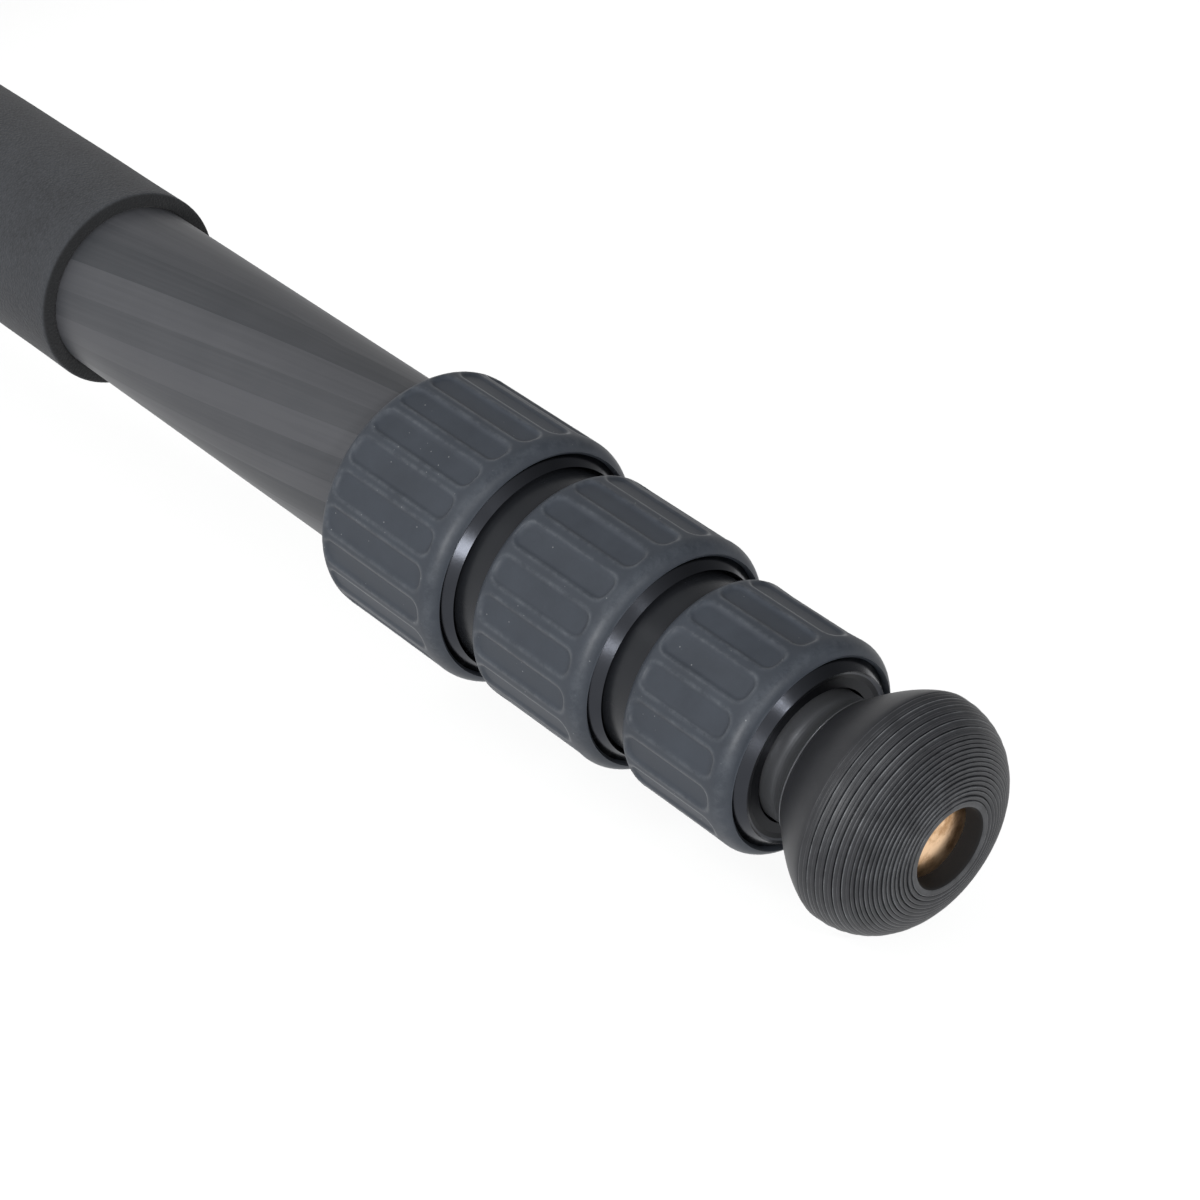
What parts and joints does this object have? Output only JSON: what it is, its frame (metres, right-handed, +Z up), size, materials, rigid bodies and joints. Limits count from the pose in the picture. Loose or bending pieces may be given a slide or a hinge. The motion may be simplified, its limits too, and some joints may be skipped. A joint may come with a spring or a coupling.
{
  "type": "camera tripod",
  "caption": "Low-standing camera tripod with folding four-section twist-lock legs, fluted rubber lock grips, foam sleeves and ribbed mushroom feet.",
  "frame": {"origin": "centre of the head platform's top face, where the head stud leaves it", "axes": "+Z up along the head stud, leg 1 runs towards -Y, leg 2 towards +X and leg 3 towards -X"},
  "size_m": [0.903, 0.7861, 0.1379],
  "materials": {
    "black_casting": "fine texture powder coat",
    "bare_metal": "satin",
    "carbon_fibre": "matt",
    "eva_foam": "fine open texture",
    "black_anodised": "gloss anodised",
    "grip_rubber": "matt, lightly worn",
    "dark_metal": "turned, dark anodised",
    "foot_rubber": "matt",
    "bronze_plug": "tarnished",
    "bolt_steel": "turned",
    "blackened_steel": "oil blackened",
    "washer_nylon": "plain",
    "black_plastic": "moulded",
    "vial_glass": "clear"
  },
  "bodies": {
    "hub": {"spider": "black_casting", "pivot_bolts": "bolt_steel", "pivot_washers": "washer_nylon", "head_platform": "black_casting", "head_stud": "bolt_steel", "head_set_screws": "blackened_steel", "level_housing": "black_plastic", "level_vial": "vial_glass", "base_cap": "black_plastic"},
    "clamp_knob": {"clamp_knob": "black_plastic", "clamp_screw": "bolt_steel"},
    "ballast_hook": {"ballast_hook": "bare_metal"},
    "leg_1_upper": {"leg_1_casting": "black_casting", "leg_1_tube_1": "carbon_fibre", "leg_1_foam_grip": "eva_foam"},
    "leg_1_tab": {"leg_1_stop_tab": "bare_metal"},
    "leg_1_lock_1": {"leg_1_lock_nut_1": "black_anodised", "leg_1_lock_grip_1": "grip_rubber"},
    "leg_1_section_2": {"leg_1_tube_2": "carbon_fibre"},
    "leg_1_lock_2": {"leg_1_lock_nut_2": "black_anodised", "leg_1_lock_grip_2": "grip_rubber"},
    "leg_1_section_3": {"leg_1_tube_3": "carbon_fibre"},
    "leg_1_lock_3": {"leg_1_lock_nut_3": "black_anodised", "leg_1_lock_grip_3": "grip_rubber"},
    "leg_1_section_4": {"leg_1_tube_4": "carbon_fibre", "leg_1_foot_collar": "dark_metal", "leg_1_foot_rubber": "foot_rubber", "leg_1_foot_plug": "bronze_plug"},
    "leg_2_upper": {"leg_2_casting": "black_casting", "leg_2_tube_1": "carbon_fibre", "leg_2_foam_grip": "eva_foam"},
    "leg_2_tab": {"leg_2_stop_tab": "bare_metal"},
    "leg_2_lock_1": {"leg_2_lock_nut_1": "black_anodised", "leg_2_lock_grip_1": "grip_rubber"},
    "leg_2_section_2": {"leg_2_tube_2": "carbon_fibre"},
    "leg_2_lock_2": {"leg_2_lock_nut_2": "black_anodised", "leg_2_lock_grip_2": "grip_rubber"},
    "leg_2_section_3": {"leg_2_tube_3": "carbon_fibre"},
    "leg_2_lock_3": {"leg_2_lock_nut_3": "black_anodised", "leg_2_lock_grip_3": "grip_rubber"},
    "leg_2_section_4": {"leg_2_tube_4": "carbon_fibre", "leg_2_foot_collar": "dark_metal", "leg_2_foot_rubber": "foot_rubber", "leg_2_foot_plug": "bronze_plug"},
    "leg_3_upper": {"leg_3_casting": "black_casting", "leg_3_tube_1": "carbon_fibre", "leg_3_foam_grip": "eva_foam"},
    "leg_3_tab": {"leg_3_stop_tab": "bare_metal"},
    "leg_3_lock_1": {"leg_3_lock_nut_1": "black_anodised", "leg_3_lock_grip_1": "grip_rubber"},
    "leg_3_section_2": {"leg_3_tube_2": "carbon_fibre"},
    "leg_3_lock_2": {"leg_3_lock_nut_2": "black_anodised", "leg_3_lock_grip_2": "grip_rubber"},
    "leg_3_section_3": {"leg_3_tube_3": "carbon_fibre"},
    "leg_3_lock_3": {"leg_3_lock_nut_3": "black_anodised", "leg_3_lock_grip_3": "grip_rubber"},
    "leg_3_section_4": {"leg_3_tube_4": "carbon_fibre", "leg_3_foot_collar": "dark_metal", "leg_3_foot_rubber": "foot_rubber", "leg_3_foot_plug": "bronze_plug"}
  },
  "joints": [
    {"name": "leg_1_hinge", "type": "hinge", "parent": "hub", "child": "leg_1_upper", "pos_m": [0, -0.042, -0.028], "axis": [1, 0, 0], "range_deg": [0, 80]},
    {"name": "leg_1_tab_pull", "type": "slide", "parent": "leg_1_upper", "child": "leg_1_tab", "axis": [0, -0.9848, -0.1736], "range_m": [0, 0.004], "stiffness_N_per_m": 300, "springref_m": -0.004},
    {"name": "leg_1_lock_1_turn", "type": "hinge", "parent": "leg_1_upper", "child": "leg_1_lock_1", "pos_m": [0, -0.042, -0.028], "axis": [0, -0.9848, -0.1736], "range_deg": [0, 110]},
    {"name": "leg_1_section_2_slide", "type": "slide", "parent": "leg_1_upper", "child": "leg_1_section_2", "axis": [0, -0.9848, -0.1736], "range_m": [0, 0.275]},
    {"name": "leg_1_lock_2_turn", "type": "hinge", "parent": "leg_1_section_2", "child": "leg_1_lock_2", "pos_m": [0, -0.042, -0.028], "axis": [0, -0.9848, -0.1736], "range_deg": [0, 110]},
    {"name": "leg_1_section_3_slide", "type": "slide", "parent": "leg_1_section_2", "child": "leg_1_section_3", "axis": [0, -0.9848, -0.1736], "range_m": [0, 0.275]},
    {"name": "leg_1_lock_3_turn", "type": "hinge", "parent": "leg_1_section_3", "child": "leg_1_lock_3", "pos_m": [0, -0.042, -0.028], "axis": [0, -0.9848, -0.1736], "range_deg": [0, 110]},
    {"name": "leg_1_section_4_slide", "type": "slide", "parent": "leg_1_section_3", "child": "leg_1_section_4", "axis": [0, -0.9848, -0.1736], "range_m": [0, 0.275]},
    {"name": "leg_2_hinge", "type": "hinge", "parent": "hub", "child": "leg_2_upper", "pos_m": [0.03637, 0.021, -0.028], "axis": [-0.5, 0.866, 0], "range_deg": [0, 80]},
    {"name": "leg_2_tab_pull", "type": "slide", "parent": "leg_2_upper", "child": "leg_2_tab", "axis": [0.8529, 0.4924, -0.1736], "range_m": [0, 0.004], "stiffness_N_per_m": 300, "springref_m": -0.004},
    {"name": "leg_2_lock_1_turn", "type": "hinge", "parent": "leg_2_upper", "child": "leg_2_lock_1", "pos_m": [0.03637, 0.021, -0.028], "axis": [0.8529, 0.4924, -0.1736], "range_deg": [0, 110]},
    {"name": "leg_2_section_2_slide", "type": "slide", "parent": "leg_2_upper", "child": "leg_2_section_2", "axis": [0.8529, 0.4924, -0.1736], "range_m": [0, 0.275]},
    {"name": "leg_2_lock_2_turn", "type": "hinge", "parent": "leg_2_section_2", "child": "leg_2_lock_2", "pos_m": [0.03637, 0.021, -0.028], "axis": [0.8529, 0.4924, -0.1736], "range_deg": [0, 110]},
    {"name": "leg_2_section_3_slide", "type": "slide", "parent": "leg_2_section_2", "child": "leg_2_section_3", "axis": [0.8529, 0.4924, -0.1736], "range_m": [0, 0.275]},
    {"name": "leg_2_lock_3_turn", "type": "hinge", "parent": "leg_2_section_3", "child": "leg_2_lock_3", "pos_m": [0.03637, 0.021, -0.028], "axis": [0.8529, 0.4924, -0.1736], "range_deg": [0, 110]},
    {"name": "leg_2_section_4_slide", "type": "slide", "parent": "leg_2_section_3", "child": "leg_2_section_4", "axis": [0.8529, 0.4924, -0.1736], "range_m": [0, 0.275]},
    {"name": "leg_3_hinge", "type": "hinge", "parent": "hub", "child": "leg_3_upper", "pos_m": [-0.03637, 0.021, -0.028], "axis": [-0.5, -0.866, 0], "range_deg": [0, 80]},
    {"name": "leg_3_tab_pull", "type": "slide", "parent": "leg_3_upper", "child": "leg_3_tab", "axis": [-0.8529, 0.4924, -0.1736], "range_m": [0, 0.004], "stiffness_N_per_m": 300, "springref_m": -0.004},
    {"name": "leg_3_lock_1_turn", "type": "hinge", "parent": "leg_3_upper", "child": "leg_3_lock_1", "pos_m": [-0.03637, 0.021, -0.028], "axis": [-0.8529, 0.4924, -0.1736], "range_deg": [0, 110]},
    {"name": "leg_3_section_2_slide", "type": "slide", "parent": "leg_3_upper", "child": "leg_3_section_2", "axis": [-0.8529, 0.4924, -0.1736], "range_m": [0, 0.275]},
    {"name": "leg_3_lock_2_turn", "type": "hinge", "parent": "leg_3_section_2", "child": "leg_3_lock_2", "pos_m": [-0.03637, 0.021, -0.028], "axis": [-0.8529, 0.4924, -0.1736], "range_deg": [0, 110]},
    {"name": "leg_3_section_3_slide", "type": "slide", "parent": "leg_3_section_2", "child": "leg_3_section_3", "axis": [-0.8529, 0.4924, -0.1736], "range_m": [0, 0.275]},
    {"name": "leg_3_lock_3_turn", "type": "hinge", "parent": "leg_3_section_3", "child": "leg_3_lock_3", "pos_m": [-0.03637, 0.021, -0.028], "axis": [-0.8529, 0.4924, -0.1736], "range_deg": [0, 110]},
    {"name": "leg_3_section_4_slide", "type": "slide", "parent": "leg_3_section_3", "child": "leg_3_section_4", "axis": [-0.8529, 0.4924, -0.1736], "range_m": [0, 0.275]},
    {"name": "clamp_knob_turn", "type": "hinge", "parent": "hub", "child": "clamp_knob", "pos_m": [0, 0.05, -0.022], "axis": [0, 1, 0], "range_deg": [0, 720]},
    {"name": "hook_swivel", "type": "hinge", "parent": "hub", "child": "ballast_hook", "pos_m": [0, 0, -0.055], "axis": [0, 0, 1], "continuous": true}
  ]
}
